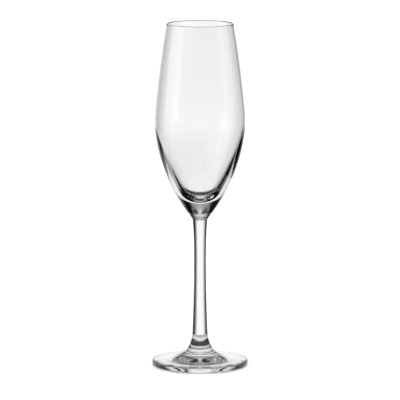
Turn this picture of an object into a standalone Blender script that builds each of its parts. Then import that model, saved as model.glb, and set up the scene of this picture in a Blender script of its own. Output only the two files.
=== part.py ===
"""Champagne flute: a tapered bowl on a collar, a drawn stem and a disc foot.

The flute is four gathers of clear glass fused end to end: bowl, collar, stem
and foot. Each is turned about +Z. The origin is the middle of the ring that
the foot rests on, with +Z up towards the mouth.
"""

from math import cos, radians, sin

import bpy
from mathutils import Vector
from mathutils.geometry import interpolate_bezier

# Driving dimensions, in metres
HEIGHT = 0.225
RIM_RADIUS = 0.0220
BELLY_RADIUS = 0.02965
BELLY_HEIGHT = 0.164
BOWL_SEAT_HEIGHT = 0.1006
COLLAR_FOOT_HEIGHT = 0.0964
STEM_FOOT_HEIGHT = 0.0196
FOOT_RADIUS = 0.0313
FOOT_EDGE = 0.0041

WALL = 0.0011
THIN_WALL_BOTTOM = 0.16
RIM_LEAN = radians(10.4)
SHOULDER = Vector((0.0081, 0.1012))
SEAT_RADIUS = 0.0071
CAVITY_FLOOR = 0.1104
CAVITY_KNEE = Vector((0.01145, 0.11719))
KNEE_LEAN = radians(54.9)

COLLAR_RADIUS = 0.0070
UPPER_RING = Vector((0.0067, 0.0996))
LOWER_RING = Vector((0.0056, 0.0978))
COLLAR_FOOT_RADIUS = 0.0048
STEM_TOP_RADIUS = 0.0048
STEM_FOOT_RADIUS = 0.0051
EDGE_ROUND_TOP = 0.0009
EDGE_ROUND_BOTTOM = 0.0014
REST_RING_INNER = 0.0255
UNDERSIDE_HOLLOW = 0.0022

# Pulls of the curves' handles, along or relative to their ends
RIM_PULL = 0.0206
BELLY_PULL_UP = 0.0058
BELLY_PULL_DOWN = 0.0140
SHOULDER_PULL = Vector((0.0179, 0.0252))
FLOOR_PULL = 0.00035
KNEE_PULL_DOWN = 0.00816
KNEE_PULL_UP = 0.00831
THIN_WALL_PULL = 0.01544
STEM_TOP_PULL = Vector((-0.0013, -0.0120))
STEM_FOOT_PULL = Vector((-0.0015, 0.0320))
BOSS_PULL = Vector((0.0024, -0.0125))
FOOT_EDGE_PULL = Vector((-0.0158, 0.0009))
REST_RING_PULL = Vector((-0.0050, 0.0002))
HOLLOW_PULL = 0.0110

FUSED_GAP = 0.0003
TURNS = 48


def bend(start, start_pull, end_pull, end, count):
    """Points along a cubic curve; the pulls are relative to its two ends."""
    start, end = Vector(start), Vector(end)
    knots = [start, start + Vector(start_pull), end + Vector(end_pull), end]
    return [Vector((p[0], p[1])) for p in interpolate_bezier(*knots, count)]


def arc(centre, radius, first, last, count):
    """Points along a round edge; the angles are in radians from outwards."""
    points = []
    for i in range(count):
        angle = first + (last - first) * i / (count - 1)
        offset = Vector((cos(angle), sin(angle))) * radius
        points.append(Vector(centre) + offset)
    return points


def outline(*stretches):
    """Join stretches end to end, without the doubled points where they meet."""
    points = []
    for stretch in stretches:
        for point in stretch:
            point = Vector(point)
            if not points or (point - points[-1]).length > 1e-6:
                points.append(point)
    return points


def bowl_outline():
    """Cavity, thin inner wall, rounded lip, outer side, then the flat seat.

    The wall is even from the lip to just under the belly. From there down the
    cavity narrows faster than the outside does, so the glass thickens into a
    heavy solid base.
    """
    lip = WALL / 2
    lip_centre = Vector((RIM_RADIUS - lip, HEIGHT - lip))
    lip_arc = arc(lip_centre, lip, RIM_LEAN + radians(180), RIM_LEAN, 6)
    down = Vector((sin(RIM_LEAN), -cos(RIM_LEAN)))
    belly = Vector((BELLY_RADIUS, BELLY_HEIGHT))
    side = bend(lip_arc[-1], down * RIM_PULL, (0.0, BELLY_PULL_UP), belly, 10)
    taper = bend(belly, (0.0, -BELLY_PULL_DOWN), SHOULDER_PULL, SHOULDER, 16)
    outside = outline(side, taper)

    inside = [p - Vector((WALL, 0.0)) for p in reversed(outside[1:])
              if p.y > THIN_WALL_BOTTOM]
    lean = (inside[1] - inside[0]).normalized()
    knee = Vector((cos(KNEE_LEAN), sin(KNEE_LEAN)))
    cavity = outline(
        bend((0.0, CAVITY_FLOOR), (FLOOR_PULL, 0.0), knee * -KNEE_PULL_DOWN,
             CAVITY_KNEE, 10),
        bend(CAVITY_KNEE, knee * KNEE_PULL_UP, lean * -THIN_WALL_PULL,
             inside[0], 12))
    seat = Vector((SEAT_RADIUS, BOWL_SEAT_HEIGHT + FUSED_GAP / 2))
    return outline(cavity, inside, lip_arc, outside, [seat, (0.0, seat.y)])


def collar_outline():
    """Steps in from the bowl to the stem over two soft rings."""
    top = BOWL_SEAT_HEIGHT - FUSED_GAP / 2
    bottom = COLLAR_FOOT_HEIGHT + FUSED_GAP / 2
    upper = bend((COLLAR_RADIUS, top), (0.0, -0.0006), (0.0, 0.0004),
                 UPPER_RING, 4)
    middle = bend(UPPER_RING, (0.0, -0.0006), (0.0001, 0.0006), LOWER_RING, 6)
    lower = bend(LOWER_RING, (-0.0001, -0.0005), (0.0, 0.0005),
                 (COLLAR_FOOT_RADIUS, bottom), 6)
    return outline([(0.0, top)], upper, middle, lower, [(0.0, bottom)])


def stem_outline():
    """A drawn rod, thinnest a little above its middle."""
    top = COLLAR_FOOT_HEIGHT - FUSED_GAP / 2
    bottom = STEM_FOOT_HEIGHT + FUSED_GAP / 2
    side = bend((STEM_TOP_RADIUS, top), STEM_TOP_PULL, STEM_FOOT_PULL,
                (STEM_FOOT_RADIUS, bottom), 12)
    return outline([(0.0, top)], side, [(0.0, bottom)])


def foot_outline():
    """Boss, flared top, rounded edge, flat rest ring and hollow underside."""
    top = STEM_FOOT_HEIGHT - FUSED_GAP / 2
    shoulder = FOOT_RADIUS - EDGE_ROUND_TOP
    flare = bend((STEM_FOOT_RADIUS, top), BOSS_PULL, FOOT_EDGE_PULL,
                 (shoulder, FOOT_EDGE), 15)
    edge_top = arc((shoulder, FOOT_EDGE - EDGE_ROUND_TOP), EDGE_ROUND_TOP,
                   radians(90), 0.0, 5)
    edge_bottom = arc((FOOT_RADIUS - EDGE_ROUND_BOTTOM, EDGE_ROUND_BOTTOM),
                      EDGE_ROUND_BOTTOM, 0.0, radians(-90), 6)
    hollow = bend((REST_RING_INNER, 0.0), REST_RING_PULL, (HOLLOW_PULL, 0.0),
                  (0.0, UNDERSIDE_HOLLOW), 8)
    return outline([(0.0, top)], flare, edge_top, edge_bottom, hollow)


def glass(name, colour):
    """Clear, polished soda-lime glass."""
    material = bpy.data.materials.new(name)
    material.use_nodes = True
    shader = material.node_tree.nodes["Principled BSDF"]
    shader.inputs["Base Color"].default_value = (*colour, 1.0)
    shader.inputs["Roughness"].default_value = 0.02
    shader.inputs["Metallic"].default_value = 0.0
    shader.inputs["IOR"].default_value = 1.52
    shader.inputs["Transmission Weight"].default_value = 1.0
    return material


def turned(name, profile, colour, collection):
    """Turn a profile about Z into one closed, smooth-shaded solid."""
    mesh = bpy.data.meshes.new(name)
    points = [(p.x, 0.0, p.y) for p in profile]
    edges = [(i, i + 1) for i in range(len(points) - 1)]
    mesh.from_pydata(points, edges, [])
    mesh.materials.append(glass(name + "_glass", colour))

    piece = bpy.data.objects.new(name, mesh)
    collection.objects.link(piece)
    lathe = piece.modifiers.new("lathe", "SCREW")
    lathe.axis = "Z"
    lathe.steps = TURNS
    lathe.render_steps = TURNS
    lathe.use_merge_vertices = True
    lathe.merge_threshold = 0.00002
    lathe.use_smooth_shade = True
    return piece


def build():
    for old in list(bpy.data.objects):
        bpy.data.objects.remove(old, do_unlink=True)

    flute = bpy.data.collections.new("champagne_flute")
    bpy.context.scene.collection.children.link(flute)
    origin = bpy.data.objects.new("flute_origin", None)
    flute.objects.link(origin)

    pieces = [
        turned("bowl", bowl_outline(), (0.95, 0.96, 0.96), flute),
        turned("collar", collar_outline(), (0.93, 0.95, 0.95), flute),
        turned("stem", stem_outline(), (0.94, 0.96, 0.95), flute),
        turned("foot", foot_outline(), (0.94, 0.95, 0.96), flute),
    ]
    for piece in pieces:
        piece.parent = origin


build()
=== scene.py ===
from math import cos, pi, radians, sin

import bmesh
import bpy
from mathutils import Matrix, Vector
from mathutils.geometry import interpolate_bezier


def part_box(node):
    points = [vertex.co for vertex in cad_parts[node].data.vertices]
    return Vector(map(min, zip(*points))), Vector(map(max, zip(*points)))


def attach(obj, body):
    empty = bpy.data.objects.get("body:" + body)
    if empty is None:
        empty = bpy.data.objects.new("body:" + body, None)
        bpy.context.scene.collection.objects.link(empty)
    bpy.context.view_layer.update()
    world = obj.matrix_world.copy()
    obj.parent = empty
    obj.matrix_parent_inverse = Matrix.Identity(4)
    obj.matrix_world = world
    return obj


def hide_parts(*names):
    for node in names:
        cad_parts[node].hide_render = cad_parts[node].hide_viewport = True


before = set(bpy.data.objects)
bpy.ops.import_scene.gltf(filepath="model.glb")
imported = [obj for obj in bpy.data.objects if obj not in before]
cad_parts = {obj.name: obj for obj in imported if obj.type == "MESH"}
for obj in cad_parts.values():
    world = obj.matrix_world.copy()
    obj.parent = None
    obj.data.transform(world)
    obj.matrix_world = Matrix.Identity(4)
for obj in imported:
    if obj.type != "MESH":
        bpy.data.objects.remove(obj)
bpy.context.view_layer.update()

# ---------------------------------------------------------------------------
# Bowl: the blown cup. The gather is blown in a turning mould, cracked off and
# fire-polished at the mouth, so the wall is thin and even down to the belly
# and then thickens into a heavy solid base.
# ---------------------------------------------------------------------------

BLANK_SEGMENTS = 256


def bend(start, start_pull, end_pull, end, count):
    """A smooth stretch of outline; the pulls are handles, relative to the ends."""
    start, end = Vector(start), Vector(end)
    knots = [start, start + Vector(start_pull), end + Vector(end_pull), end]
    points = interpolate_bezier(*[k.to_3d() for k in knots], count)
    return [Vector((p.x, p.y)) for p in points]


def rounded(centre, radius, first, last, count):
    """A round edge on an outline; the angles are in degrees from outwards."""
    steps = [first + (last - first) * i / (count - 1) for i in range(count)]
    return [Vector(centre) + Vector((cos(radians(a)), sin(radians(a)))) * radius
            for a in steps]


def outline(*stretches):
    """Stretches joined end to end, each shared point kept once."""
    points = []
    for stretch in stretches:
        for point in stretch:
            point = Vector(point)
            if not points or (point - points[-1]).length > 1e-6:
                points.append(point)
    return points


def turned(name, profile, skin, fused_heights):
    """Spin an outline about Z. Faces on a fused joint get the clear slot."""
    form = bmesh.new()
    verts = [form.verts.new((p.x, 0.0, p.y)) for p in profile]
    edges = [form.edges.new(pair) for pair in zip(verts, verts[1:])]
    bmesh.ops.spin(form, geom=verts + edges, cent=(0, 0, 0), axis=(0, 0, 1),
                   angle=2 * pi, steps=BLANK_SEGMENTS, use_merge=True)
    bmesh.ops.remove_doubles(form, verts=form.verts, dist=2e-6)
    bmesh.ops.recalc_face_normals(form, faces=form.faces)
    for face in form.faces:
        face.smooth = True
        on_joint = [abs(face.calc_center_median().z - z) < 1e-6
                    for z in fused_heights]
        face.material_index = 1 if any(on_joint) else 0
    mesh = bpy.data.meshes.new(name)
    form.to_mesh(mesh)
    form.free()
    mesh.set_sharp_from_angle(angle=radians(35))
    mesh.materials.append(skin)
    mesh.materials.append(fused)
    piece = bpy.data.objects.new(name, mesh)
    bpy.context.scene.collection.objects.link(piece)
    return piece


class Wire:
    """A shader socket on which sums can be written as in Python."""

    def __init__(self, tree, socket=None):
        self.tree = tree
        self.socket = socket

    def node(self, kind, settings=None, values=None, out=0):
        """Any node: its type, its settings, then the values of its sockets."""
        made = self.tree.nodes.new("ShaderNode" + kind)
        for key, value in (settings or {}).items():
            setattr(made, key, value)
        for key, value in (values or {}).items():
            if isinstance(value, Wire):
                self.tree.links.new(value.socket, made.inputs[key])
            else:
                made.inputs[key].default_value = value
        return Wire(self.tree, made.outputs[out])

    def sum(self, operation, first, second=0.0, clamp=False):
        return self.node("Math", {"operation": operation, "use_clamp": clamp},
                         {0: first, 1: second})

    def __add__(self, other):
        return self.sum("ADD", self, other)

    __radd__ = __add__

    def __sub__(self, other):
        return self.sum("SUBTRACT", self, other)

    def __rsub__(self, other):
        return self.sum("SUBTRACT", other, self)

    def __mul__(self, other):
        return self.sum("MULTIPLY", self, other)

    __rmul__ = __mul__

    def clamped(self):
        return self.sum("ADD", self, 0.0, clamp=True)


def material(name):
    """An empty material, its tree as a Wire, and its shader."""
    made = bpy.data.materials.new(name)
    made.use_nodes = True
    return made, Wire(made.node_tree), made.node_tree.nodes["Principled BSDF"]


def plug(tree, wire, socket):
    tree.tree.links.new(wire.socket, socket)


COLOURLESS = (1.0, 1.0, 1.0, 1.0)
GLASS_INDEX = 1.52


def clear_glass(name, wave_scale, wave_depth):
    """Colourless soda-lime glass; wave_scale is ripples a metre along X, Y, Z."""
    made, tree, shader = material(name)
    shader.inputs["Base Color"].default_value = COLOURLESS
    shader.inputs["Roughness"].default_value = 0.0
    shader.inputs["IOR"].default_value = GLASS_INDEX
    shader.inputs["Transmission Weight"].default_value = 1.0
    place = tree.node("TexCoord", out="Object")
    grain = tree.node("Mapping", values={"Vector": place, "Scale": wave_scale})
    ripple = tree.node("TexNoise", values={"Vector": grain, "Scale": 1.0,
                                           "Detail": 2.0, "Roughness": 0.45})
    bump = tree.node("Bump", values={"Strength": 1.0, "Distance": wave_depth,
                                     "Height": ripple})
    plug(tree, bump, shader.inputs["Normal"])
    return made


fused, _, fused_shader = material("fused_joint")
fused_shader.inputs["Alpha"].default_value = 0.0

bowl_low, bowl_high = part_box("bowl")
collar_low, collar_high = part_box("collar")
bowl_seat = (bowl_low[2] + collar_high[2]) / 2

BOWL_WALL = 0.0011
RIM_RADIUS = 0.0220
LIP_LEAN = 10.4
RIM_PULL = 0.0206
BELLY_PULL_UP = 0.0058
BELLY_PULL_DOWN = 0.0140
SHOULDER_PULL = (0.0179, 0.0252)
FLOOR_PULL = 0.00035
KNEE_PULL_DOWN = 0.00816
KNEE_PULL_UP = 0.00831
EVEN_WALL_PULL = 0.01544
BELLY = Vector((0.02965, 0.164))
SHOULDER = Vector((0.0081, 0.1012))
SEAT_RADIUS = 0.0071
EVEN_WALL_BOTTOM = 0.16
CAVITY_FLOOR = 0.1104
CAVITY_KNEE = Vector((0.01145, 0.11719))
KNEE_LEAN = radians(54.9)

lip = BOWL_WALL / 2
lip_edge = rounded((RIM_RADIUS - lip, bowl_high[2] - lip), lip,
                   180 + LIP_LEAN, LIP_LEAN, 17)
down = Vector((sin(radians(LIP_LEAN)), -cos(radians(LIP_LEAN))))
bowl_outside = outline(
    bend(lip_edge[-1], down * RIM_PULL, (0, BELLY_PULL_UP), BELLY, 60),
    bend(BELLY, (0, -BELLY_PULL_DOWN), SHOULDER_PULL, SHOULDER, 70))
bowl_inside = [p - Vector((BOWL_WALL, 0)) for p in reversed(bowl_outside[2:])
               if p.y > EVEN_WALL_BOTTOM]
lean = (bowl_inside[1] - bowl_inside[0]).normalized()
knee = Vector((cos(KNEE_LEAN), sin(KNEE_LEAN)))
cavity = outline(
    bend((0, CAVITY_FLOOR), (FLOOR_PULL, 0), knee * -KNEE_PULL_DOWN,
         CAVITY_KNEE, 50),
    bend(CAVITY_KNEE, knee * KNEE_PULL_UP, lean * -EVEN_WALL_PULL,
         bowl_inside[0], 60))
bowl_profile = outline(cavity, bowl_inside, lip_edge, bowl_outside,
                       [(SEAT_RADIUS, bowl_seat), (0, bowl_seat)])

bowl_glass = clear_glass("bowl_glass", (40, 40, 25), 0.00001)
bowl = turned("blown_bowl", bowl_profile, bowl_glass, [bowl_seat])
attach(bowl, "root")
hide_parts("bowl")

# ---------------------------------------------------------------------------
# Collar: a small piece of glass pressed on under the bowl to carry it. It
# steps in to the top of the stem over two soft rings.
# ---------------------------------------------------------------------------

stem_low, stem_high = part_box("stem")
collar_seat = (collar_low[2] + stem_high[2]) / 2
collar_top_radius = (collar_high[0] - collar_low[0]) / 2
UPPER_RING = Vector((0.0067, 0.0996))
LOWER_RING = Vector((0.0056, 0.0978))
COLLAR_FOOT_RADIUS = 0.0048

collar_profile = outline(
    [(0, bowl_seat)],
    bend((collar_top_radius, bowl_seat), (0, -0.0007), (0, 0.0004),
         UPPER_RING, 12),
    bend(UPPER_RING, (0, -0.0006), (0.0001, 0.0006), LOWER_RING, 16),
    bend(LOWER_RING, (-0.0001, -0.0005), (0, 0.0006),
         (COLLAR_FOOT_RADIUS, collar_seat), 16),
    [(0, collar_seat)])
collar_glass = clear_glass("collar_glass", (60, 60, 60), 0.00001)
collar = turned("pressed_collar", collar_profile, collar_glass,
                [bowl_seat, collar_seat])
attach(collar, "root")
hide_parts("collar")

# ---------------------------------------------------------------------------
# Stem: a rod drawn down from the gather while it is soft, so it is thinnest
# above its middle and keeps faint draw lines along its length.
# ---------------------------------------------------------------------------

foot_low, foot_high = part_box("foot")
stem_seat = (stem_low[2] + foot_high[2]) / 2
STEM_TOP_RADIUS = 0.0048
STEM_TOP_PULL = (-0.0013, -0.0120)
STEM_FOOT_PULL = (-0.0015, 0.0320)
stem_foot_radius = (stem_high[0] - stem_low[0]) / 2

stem_profile = outline(
    [(0, collar_seat)],
    bend((STEM_TOP_RADIUS, collar_seat), STEM_TOP_PULL, STEM_FOOT_PULL,
         (stem_foot_radius, stem_seat), 90),
    [(0, stem_seat)])
stem_glass = clear_glass("stem_glass", (300, 300, 12), 0.000008)
stem = turned("drawn_stem", stem_profile, stem_glass,
              [collar_seat, stem_seat])
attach(stem, "root")
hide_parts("stem")

# ---------------------------------------------------------------------------
# Foot: a disc pressed and spun out flat, with a flared boss in the middle
# where it is fused to the stem. It rests on a flat ring, inside which the
# underside is slightly hollow.
# ---------------------------------------------------------------------------

foot_radius = (foot_high[0] - foot_low[0]) / 2
FOOT_EDGE = 0.0041
EDGE_ROUND_TOP = 0.0009
EDGE_ROUND_BOTTOM = 0.0014
REST_RING_INNER = 0.0255
UNDERSIDE_HOLLOW = 0.0022
BOSS_PULL = (0.0024, -0.0125)
FOOT_EDGE_PULL = (-0.0158, 0.0009)
REST_RING_PULL = (-0.0050, 0.0002)
HOLLOW_PULL = 0.0110

edge_shoulder = foot_radius - EDGE_ROUND_TOP
foot_profile = outline(
    [(0, stem_seat)],
    bend((stem_foot_radius, stem_seat), BOSS_PULL, FOOT_EDGE_PULL,
         (edge_shoulder, FOOT_EDGE), 80),
    rounded((edge_shoulder, FOOT_EDGE - EDGE_ROUND_TOP), EDGE_ROUND_TOP,
            90, 0, 12),
    rounded((foot_radius - EDGE_ROUND_BOTTOM, EDGE_ROUND_BOTTOM),
            EDGE_ROUND_BOTTOM, 0, -90, 12),
    bend((REST_RING_INNER, 0), REST_RING_PULL, (HOLLOW_PULL, 0),
         (0, UNDERSIDE_HOLLOW), 40))
foot_glass = clear_glass("foot_glass", (50, 50, 50), 0.00001)
foot = turned("pressed_foot", foot_profile, foot_glass, [stem_seat])
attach(foot, "root")
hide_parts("foot")

# ---------------------------------------------------------------------------
# Studio: a pale floor and a white room, which the camera and the floor see.
# The glass sees soft panels instead: a lit backdrop, a tall softbox on the
# left, a dim fill from the front and a lamp overhead. The dark between them
# draws its edges. Low panels keep the glass clear from the other sides.
# ---------------------------------------------------------------------------

bpy.ops.mesh.primitive_plane_add(size=40.0, location=(0, 0, -0.0002))
floor = bpy.context.object
floor.name = "studio_floor"
paint, tree, shader = material("pale_floor")
shader.inputs["Base Color"].default_value = (0.8, 0.8, 0.8, 1.0)
shader.inputs["Roughness"].default_value = 1.0
shader.inputs["Specular IOR Level"].default_value = 0.0
floor.data.materials.append(paint)
floor.visible_glossy = False
floor.visible_transmission = False


def ramp(light, value, start, end):
    """0 before start and 1 after end, eased; start may be above end."""
    return light.node("MapRange", {"interpolation_type": "SMOOTHSTEP"},
                      {"Value": value, "From Min": start, "From Max": end})


def panel(light, value, low, high, soft_low, soft_high):
    """1 between two angles, fading out over the soft angles outside them."""
    return (ramp(light, value, low - soft_low, low)
            * ramp(light, value, high + soft_high, high))


# Painted light: a glowing disc that the glass sees through its own foot, standing
# in for the lit table, with painted shade in its middle under the boss
bpy.ops.mesh.primitive_circle_add(vertices=96, radius=0.07, fill_type="NGON",
                                  location=(0, 0, -0.0001))
table_glow = bpy.context.object
table_glow.name = "table_glow"
painted_table_glow, tree, shader = material("table_glow")
shader.inputs["Base Color"].default_value = (0.0, 0.0, 0.0, 1.0)
shader.inputs["Specular IOR Level"].default_value = 0.0
shader.inputs["Emission Color"].default_value = (1.0, 1.0, 1.0, 1.0)
place = tree.node("TexCoord", out="Object")
reach = tree.node("VectorMath", {"operation": "LENGTH"}, {0: place}, out=1)
TABLE_DIM = 0.06
# Painted table light: bright from 16 mm out, painted shade inside that under the
# boss, dimmer again beyond 30 mm
painted_table_light = (ramp(tree, reach, 0.016, 0.022)
        * (0.8 - ramp(tree, reach, 0.030, 0.040) * 0.4))
plug(tree, painted_table_light + TABLE_DIM, shader.inputs["Emission Strength"])
table_glow.data.materials.append(painted_table_glow)
table_glow.visible_camera = False
table_glow.visible_diffuse = False
table_glow.visible_shadow = False

ROOM = 0.004
WHITE = 1.6

world = bpy.data.worlds.new("studio")
bpy.context.scene.world = world
world.use_nodes = True
light = Wire(world.node_tree)
way = light.node("TexCoord", out="Generated")
way_x = light.node("SeparateXYZ", values={"Vector": way}, out=0)
way_y = light.node("SeparateXYZ", values={"Vector": way}, out=1)
way_z = light.node("SeparateXYZ", values={"Vector": way}, out=2)
turn = light.sum("ARCTAN2", way_x, way_y) * (180 / pi)
rise = light.sum("ARCSINE", way_z) * (180 / pi)
off_axis = light.sum("ABSOLUTE", turn)
sideways = light.sum("ABSOLUTE", way_x)

backdrop = (panel(light, turn, -12, 10, 36, 28)
            * (panel(light, rise, -27, 6, 6, 22) * 0.66
               + panel(light, rise, -27, 40, 6, 20) * 0.34))
softbox = (panel(light, turn, -121, -78, 4, 4)
           * panel(light, rise, 2, 13, 16, 5)) * 0.95
fill = (ramp(light, off_axis, 80, 120)
        * panel(light, rise, -16, -6, 10, 14)) * 0.6
lamp = ramp(light, rise, 35, 60) * ramp(light, sideways, 0.20, 0.06) * 0.6
table = (panel(light, turn, -56, -34, 12, 12)
         * panel(light, rise, -32, -22, 8, 6) * 0.9
         + panel(light, turn, -104, -76, 12, 12)
         * panel(light, rise, -26, -14, 8, 14) * 0.6
         + panel(light, turn, 118, 152, 12, 12)
         * panel(light, rise, -48, -27, 8, 10) * 0.6)
glow = backdrop + softbox + fill + lamp + table + ROOM

seen = light.node("LightPath", out="Is Camera Ray")
from_floor = light.node("LightPath", out="Diffuse Depth")
plain = (seen + from_floor).clamped()
level = glow * (1 - plain) + plain * WHITE
source = world.node_tree.nodes["Background"]
source.inputs["Color"].default_value = (1.0, 1.0, 1.0, 1.0)
plug(light, level, source.inputs["Strength"])

# ---------------------------------------------------------------------------
# Camera
# ---------------------------------------------------------------------------

CAMERA_DISTANCE = 2.403
CAMERA_TILT = radians(8.62)
CAMERA_AIM = Vector((0, 0, 0.1094))
FRAME_HEIGHT = 0.2608

camera_data = bpy.data.cameras.new("studio_camera")
camera_data.lens = camera_data.sensor_width * CAMERA_DISTANCE / FRAME_HEIGHT
camera_data.clip_start = 0.1
camera_data.clip_end = 100.0
camera = bpy.data.objects.new("studio_camera", camera_data)
camera.location = CAMERA_AIM + CAMERA_DISTANCE * Vector(
    (0, -cos(CAMERA_TILT), sin(CAMERA_TILT)))
camera.rotation_euler = (radians(90) - CAMERA_TILT, 0, 0)
bpy.context.scene.collection.objects.link(camera)
bpy.context.scene.camera = camera
stage = bpy.context.scene
stage.view_settings.view_transform = "Standard"
stage.cycles.max_bounces = 24
stage.cycles.transmission_bounces = 24
stage.cycles.glossy_bounces = 12
